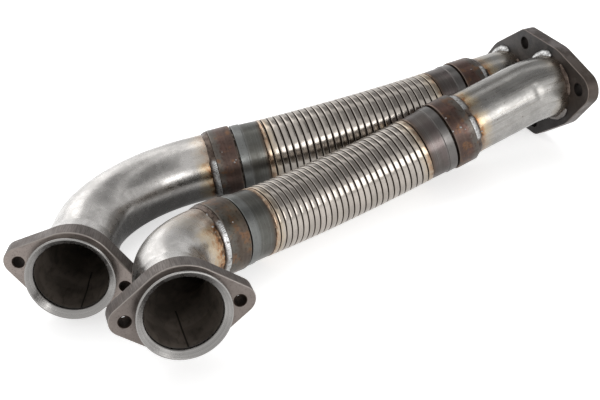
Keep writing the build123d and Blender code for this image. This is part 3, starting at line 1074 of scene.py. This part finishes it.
class PIPE_OT_collars(JointOperator, bpy.types.Operator):
    """Presses the four collars crimped on the hoses' necks"""

    bl_idname = "pipe.collars"
    bl_label = "Crimped Collars"

    def make_joint(self, scene, side, route, joint):
        """Makes one collar from the hose's end towards its sleeve."""
        sizes = scene.pipe_sizes
        start, way = joint.hose, joint.way
        band = sizes.collar - sizes.band_width
        corners = (
            (0, sizes.neck, 0),
            (0, sizes.collar_end, 0.0008),
            (band, sizes.collar_taper, 0.0003),
            (band, sizes.collar_band, 0.0006),
            (sizes.collar, sizes.collar_band, 0.0007),
            (sizes.collar, sizes.neck, 0),
        )
        profile = outline([(start + way * d, r, f) for d, r, f in corners][::way])

        def rule(distance, radius, theta):
            """Marks and shallow dents of one vertex."""
            reach = (distance - start) * way
            uneven = wobble((radius * cos(theta), radius * sin(theta), distance), 0.014, 5)
            dent = DENT_DEPTH * (uneven - 1)
            return 0, dent if radius > sizes.neck + 0.0005 else 0, {
                "band": fade(reach, band - 0.003, band + 0.002) * (0.85 if joint.end == "inlet" else 0.45),
                "burn": 0.7 * fade(reach, 0.004, 0.0005),
                "brown": 1.0 if joint.end == "outlet" else 0.0,
            }

        skin = Skin(route)
        skin.ring(profile, AROUND["ring"], rule)
        name = f"{side}_{joint.end}"
        skin.piece(f"{name}_pressed_collar", f"{name}_collar", collar_finish(), "collar")


class PIPE_OT_sleeves(JointOperator, bpy.types.Operator):
    """Turns the four stepped sleeves that join hoses and tubes"""

    bl_idname = "pipe.sleeves"
    bl_label = "Welded Sleeves"

    def make_joint(self, scene, side, route, joint):
        """Makes one sleeve from its weld towards the hose."""
        sizes = scene.pipe_sizes
        start, way = joint.weld, -joint.way
        corners = (
            (0, joint.tube, 0),
            (0, sizes.sleeve_radius, 0.0010),
            (sizes.sleeve, sizes.sleeve_radius, 0.0010),
            (sizes.sleeve, sizes.neck, 0),
            (sizes.seat, sizes.neck, 0),
            (sizes.seat, joint.tube, 0),
        )
        profile = outline([(start + way * d, r, f) for d, r, f in corners][::way])
        middle = sizes.sleeve / 2

        def rule(distance, radius, theta):
            """Marks of one vertex."""
            reach = (distance - start) * way
            # The rounded outer edges get a painted highlight in the finish.
            near_edge = fade(abs(reach - middle), middle - 0.0012, middle - 0.0003)
            outside = fade(radius, sizes.sleeve_radius - 0.0012, sizes.sleeve_radius - 0.0004)
            return 0, 0, {
                "edge": near_edge * outside,
                "toe": reach,
                "olive": 1.0 if (side, joint.end) == ("right", "inlet") else 0.0,
            }

        skin = Skin(route)
        skin.ring(profile, AROUND["ring"], rule)
        name = f"{side}_{joint.end}"
        skin.piece(f"{name}_turned_sleeve", f"{name}_sleeve", sleeve_finish(), "sleeve")


class PIPE_OT_sleeve_welds(JointOperator, bpy.types.Operator):
    """Lays the four rippled beads between tubes and sleeves"""

    bl_idname = "pipe.sleeve_welds"
    bl_label = "Sleeve Welds"

    def make_joint(self, scene, side, route, joint):
        """Makes one bead that leans on its sleeve's end face."""
        welds = scene.weld_sizes
        start, way, tube = joint.weld, joint.way, joint.tube
        steps = 14
        arc = [(welds.leg * k / steps, sin(pi / 2 * (1 - k / steps)) ** 0.7) for k in range(steps + 1)]
        profile = [(start + way * d, tube + welds.height * h) for d, h in arc]
        profile = (profile + [(start, tube)])[::way]

        def rule(distance, radius, theta):
            """Ripples of one vertex, higher on the bright stretches."""
            reach = (distance - start) * way
            height = radius - tube
            bright = bright_stretch(theta, BRIGHT_STRETCHES[side, joint.end])
            uneven = wobble((tube * cos(theta), tube * sin(theta), distance), 0.006, 2)
            phase = theta * tube / welds.ripple + (reach / welds.leg) ** 2 * 1.4
            crest = abs(sin(pi * phase))
            along = way * reach * (0.20 * bright + 0.20 * uneven)
            out = height * (0.25 * bright + 0.14 * uneven - 0.12 * (1 - crest))
            silver = fade(reach + 0.0012 * uneven, welds.leg * 0.9, welds.leg * 0.4)
            return along, out, {"bright": bright * silver}

        skin = Skin(route)
        skin.ring(profile, AROUND["bead"], rule)
        name = f"{side}_{joint.end}"
        skin.piece(f"{name}_rippled_bead", f"{name}_weld", weld_finish(), "weld")


class PIPE_OT_flange_welds(PipeOperator, bpy.types.Operator):
    """Lays the fillets behind the inlet flanges and the stitches on the outlet flange"""

    bl_idname = "pipe.flange_welds"
    bl_label = "Flange Welds"

    def make(self, scene, side, route):
        """Makes the welds on the flanges of one line."""
        sizes = scene.pipe_sizes
        welds = scene.weld_sizes
        fillet = Skin(route)
        self.lay(fillet, route.inlet_back, -1, sizes.mouth, welds, welds.flange_leg, 0, tau, 0.2)
        fillet.piece(f"{side}_flange_fillet", f"{side}_inlet_flange_weld", weld_finish(), "weld")
        stitches = Skin(route)
        for k, (size, bright) in enumerate(STITCHES):
            self.lay(
                stitches, sizes.plate, 1, sizes.outlet_tube, welds, welds.stitch_leg * size,
                tau * k / len(STITCHES) - welds.stitch_lead, welds.stitch_angle, bright,
            )
        stitches.piece(f"{side}_flange_stitches", f"{side}_outlet_flange_weld", weld_finish(), "weld")

    def lay(self, skin, face, way, tube, welds, leg, start, sweep, bright):
        """Adds one fillet between a tube and a face, tapered at its ends unless it closes."""
        closed = sweep == tau
        steps = 10
        arc = [(cos(pi / 2 * k / steps), sin(pi / 2 * k / steps)) for k in range(steps + 1)]
        profile = [(face + way * leg * a ** 1.2, tube + leg * b ** 1.2) for a, b in arc]
        profile = (profile + [(face, tube)])[::-way]

        def rule(distance, radius, theta):
            """Ripples and tapered ends of one vertex."""
            from_middle = abs(2 * (theta - start) / sweep - 1)
            taper = 1 if closed else max(0, 1 - from_middle ** 5) ** 0.5 * 0.92 + 0.08
            crest = abs(sin(pi * theta * tube / welds.ripple))
            uneven = wobble((tube * cos(theta), tube * sin(theta), face), 0.007, 4)
            size = taper * (1 + 0.16 * uneven - 0.10 * (1 - crest))
            return (distance - face) * (size - 1), (radius - tube) * (size - 1), {"bright": bright}

        skin.ring(profile, AROUND["fillet" if closed else "stitch"], rule, start, sweep)


class PIPE_OT_spatter(PipeOperator, bpy.types.Operator):
    """Scatters drops of spatter on the tubes beside the sleeve welds"""

    bl_idname = "pipe.spatter"
    bl_label = "Weld Spatter"

    def make(self, scene, side, route):
        """Makes the drops on one line as one piece."""
        welds = scene.weld_sizes
        chance = Random(SPATTER_SEEDS[side])
        drops = bmesh.new()
        for joint in route.joints:
            larger = SPATTER[side, joint.end]
            places = [(offset, radians(turn), size * 0.001) for offset, turn, size in larger]
            for _ in range(welds.drops):
                offset = welds.leg + SPATTER_START + SPATTER_REACH * chance.random() ** 1.6
                turn = tau * chance.random()
                places.append((offset, turn, welds.spatter * (0.3 + 0.5 * chance.random())))
            for offset, turn, size in places:
                seat = route.station(joint.weld + joint.way * offset) @ Matrix.Rotation(turn, 4, "Z")
                out = joint.tube if offset > 0 else scene.pipe_sizes.sleeve_radius
                place = seat @ Matrix.Translation((out - size * 0.1, 0, 0))
                shape = Matrix.Diagonal((0.6, 1, 1 + 0.4 * chance.random(), 1))
                bmesh.ops.create_icosphere(drops, subdivisions=2, radius=size, matrix=place @ shape)
        mesh = bpy.data.meshes.new(f"{side}_weld_spatter")
        drops.to_mesh(mesh)
        drops.free()
        lays = [part for vertex in mesh.vertices for part in vertex.co]
        put_marks(mesh, lays, {"bright": [0.6] * len(mesh.vertices)})
        new_piece(mesh, weld_finish())


class PIPE_OT_flange_finishes(PipeOperator, bpy.types.Operator):
    """Finishes the two inlet flanges and the outlet flange"""

    bl_idname = "pipe.flange_finishes"
    bl_label = "Flange Finishes"

    def execute(self, context):
        """Gives each flange its finish in its own frame."""
        for side in SIDES:
            self.dress(f"{side}_inlet_flange", inlet_flange_finish(side, Route(side).inlet_face))
        self.dress("outlet_flange", outlet_flange_finish(mating_face()))
        return {"FINISHED"}

    def dress(self, node, material):
        """Puts a finish on one flange."""
        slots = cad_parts[node].material_slots
        if not slots:
            raise RuntimeError(f"{node} has no material slot")
        for slot in slots:
            slot.material = material


class PIPE_OT_stage(bpy.types.Operator):
    """Sets the floor, the lamps, the room and the camera"""

    bl_idname = "pipe.stage"
    bl_label = "Studio Stage"
    bl_options = {"REGISTER", "UNDO"}

    def execute(self, context):
        """Makes the whole stage."""
        scene = context.scene
        scene.view_settings.view_transform = "Standard"
        stage = scene.stage_sizes
        self.floor(scene)
        self.room(scene)
        middle = Vector((CAD_BOX[0][i] + CAD_BOX[1][i]) / 2 for i in range(3))
        self.lamp(scene, "front_strip", middle, 77, 20, 1.5, (1.15, 0.62), stage.strip_glow)
        self.lamp(scene, "side_lamp", middle, -103, 35, 1.25, (0.80, 1.5), stage.side_glow)
        self.lamp(scene, "overhead_lamp", middle, -68, 68, 1.9, (2.2, 1.2), stage.top_glow, mirrored=False)
        top = Matrix.Translation((0.30, 0.50, 1.10)) @ Matrix.Rotation(-0.10, 4, "Z")
        self.card("top_card", top, (1.05, 1.3), 0.34)
        back = Matrix.Translation((-1.0, 0.75, 1.15)) @ Matrix.Rotation(pi / 2, 4, "Y")
        self.card("back_card", back, (1.1, 1.7), 0.45)
        # A dark card just above the floor under the lines: a painted shadow that the tubes' undersides
        # reflect.
        low = Matrix.Translation((-0.03, -0.40, CAD_BOX[0][2] + 0.0005)) @ Matrix.Rotation(-0.15, 4, "Z")
        self.card("shade_card", low, (0.13, 0.32), 0.12, soft=True)
        self.camera(scene)
        return {"FINISHED"}

    def flat(self, name, size, place, material):
        """A flat rectangle of the stage, which isn't part of the pipe."""
        x, y = size[0] / 2, size[1] / 2
        mesh = bpy.data.meshes.new(name)
        mesh.from_pydata([(-x, -y, 0), (x, -y, 0), (x, y, 0), (-x, y, 0)], [], [(0, 1, 2, 3)])
        mesh.materials.append(material)
        plane = bpy.data.objects.new(name, mesh)
        plane.matrix_world = place
        bpy.context.scene.collection.objects.link(plane)
        return plane

    def floor(self, scene):
        """A plain pale floor that the pipe lies on and casts its shadow on."""
        graph = Graph(bpy.data.materials.new("pale_floor"))
        material = graph.result(
            Base_Color=scene.finish_colours.floor, Roughness=0.8, Specular_IOR_Level=0.1,
            Emission_Color=WHITE, Emission_Strength=graph.math("MULTIPLY", graph.seen_as_white(), 0.62),
        )
        low = Matrix.Translation((0, 0, CAD_BOX[0][2] - 0.0001))
        self.flat("pale_floor", (12, 12), low, material)

    def room(self, scene):
        """A world that is white to look at and in reflections, and dimmer as a light."""
        graph = Graph(bpy.data.worlds.new("plain_room"), "Background")
        glow = graph.span(graph.seen_as_white(), 0.0, 1.0, scene.stage_sizes.room_glow, 1.0)
        scene.world = graph.result(Color=WHITE, Strength=glow)

    def aim(self, middle, heading, elevation, distance):
        """A place round the pipe, facing it; the heading is counted from +Y towards +X."""
        heading, rise = radians(heading), radians(elevation)
        out = Vector((sin(heading) * cos(rise), cos(heading) * cos(rise), sin(rise)))
        place = middle + out * distance
        return Matrix.Translation(place) @ out.to_track_quat("Z", "Y").to_matrix().to_4x4()

    def lamp(self, scene, name, middle, heading, elevation, distance, size, glow, mirrored=True):
        """A soft rectangular lamp of a given brightness, hidden from the camera."""
        light = bpy.data.lights.new(name, "AREA")
        light.shape = "RECTANGLE"
        light.size, light.size_y = size
        light.energy = glow * pi * size[0] * size[1]
        lamp = bpy.data.objects.new(name, light)
        lamp.matrix_world = self.aim(middle, heading, elevation, distance)
        lamp.visible_camera = False
        lamp.visible_glossy = mirrored
        scene.collection.objects.link(lamp)

    def card(self, name, place, size, glow, soft=False):
        """A card seen only in reflections, which draws a dark band along the tubes; soft fades it out. The
        soft card on the floor is a painted shadow in the tubes' reflections.
        """
        graph = Graph(bpy.data.materials.new(name))
        if soft:
            shape = (2 / size[0], 2 / size[1], 1)
            place_on_card = graph.stretched(graph.add("TexCoord").outputs["Object"], shape)
            spot = graph.add("TexGradient", place_on_card, gradient_type="SPHERICAL")
            glow = graph.span(spot.outputs[1], 0.0, 0.75, 0.9, glow)
        material = graph.result(
            Base_Color=BLACK, Specular_IOR_Level=0, Emission_Color=WHITE, Emission_Strength=glow
        )
        card = self.flat(name, size, place, material)
        card.visible_camera = False
        card.visible_diffuse = False
        card.visible_shadow = False

    def camera(self, scene):
        """The camera at the photograph's place and lens."""
        stage = scene.stage_sizes
        lens = bpy.data.cameras.new("pipe_camera")
        lens.lens = stage.focal
        camera = bpy.data.objects.new("pipe_camera", lens)
        turn = Matrix.Rotation(-stage.azimuth, 4, "Z") @ Matrix.Rotation(pi / 2 - stage.elevation, 4, "X")
        camera.matrix_world = Matrix.Translation(stage.camera) @ turn @ Matrix.Rotation(stage.roll, 4, "Z")
        scene.collection.objects.link(camera)
        scene.camera = camera


STEPS = (
    PIPE_OT_inlet_tubes,
    PIPE_OT_outlet_tubes,
    PIPE_OT_hoses,
    PIPE_OT_collars,
    PIPE_OT_sleeves,
    PIPE_OT_sleeve_welds,
    PIPE_OT_flange_welds,
    PIPE_OT_spatter,
    PIPE_OT_flange_finishes,
    PIPE_OT_stage,
)


class PIPE_PT_panel(bpy.types.Panel):
    """Lists the steps of the build"""

    bl_idname = "PIPE_PT_panel"
    bl_label = "Twin Exhaust Front Pipe"
    bl_space_type = "VIEW_3D"
    bl_region_type = "UI"
    bl_category = "Exhaust Pipe"

    def draw(self, context):
        """Draws a button for each step."""
        for step in STEPS:
            self.layout.operator(step.bl_idname)


GROUPS = {
    "pipe_sizes": PipeSizes,
    "right_line": RightLine,
    "left_line": LeftLine,
    "weld_sizes": WeldSizes,
    "finish_colours": FinishColours,
    "stage_sizes": StageSizes,
}


def register():
    """Adds the classes and the scene's sizes."""
    for cls in (*GROUPS.values(), *STEPS, PIPE_PT_panel):
        bpy.utils.register_class(cls)
    for name, group in GROUPS.items():
        setattr(bpy.types.Scene, name, PointerProperty(type=group))


def unregister():
    """Takes away what register added."""
    for name in GROUPS:
        delattr(bpy.types.Scene, name)
    for cls in reversed((*GROUPS.values(), *STEPS, PIPE_PT_panel)):
        bpy.utils.unregister_class(cls)


def main():
    """Builds the dressed pipe and its stage."""
    register()
    bpy.ops.pipe.inlet_tubes()
    bpy.ops.pipe.outlet_tubes()
    bpy.ops.pipe.hoses()
    bpy.ops.pipe.collars()
    bpy.ops.pipe.sleeves()
    bpy.ops.pipe.sleeve_welds()
    bpy.ops.pipe.flange_welds()
    bpy.ops.pipe.spatter()
    bpy.ops.pipe.flange_finishes()
    bpy.ops.pipe.stage()


if __name__ == "__main__":
    main()
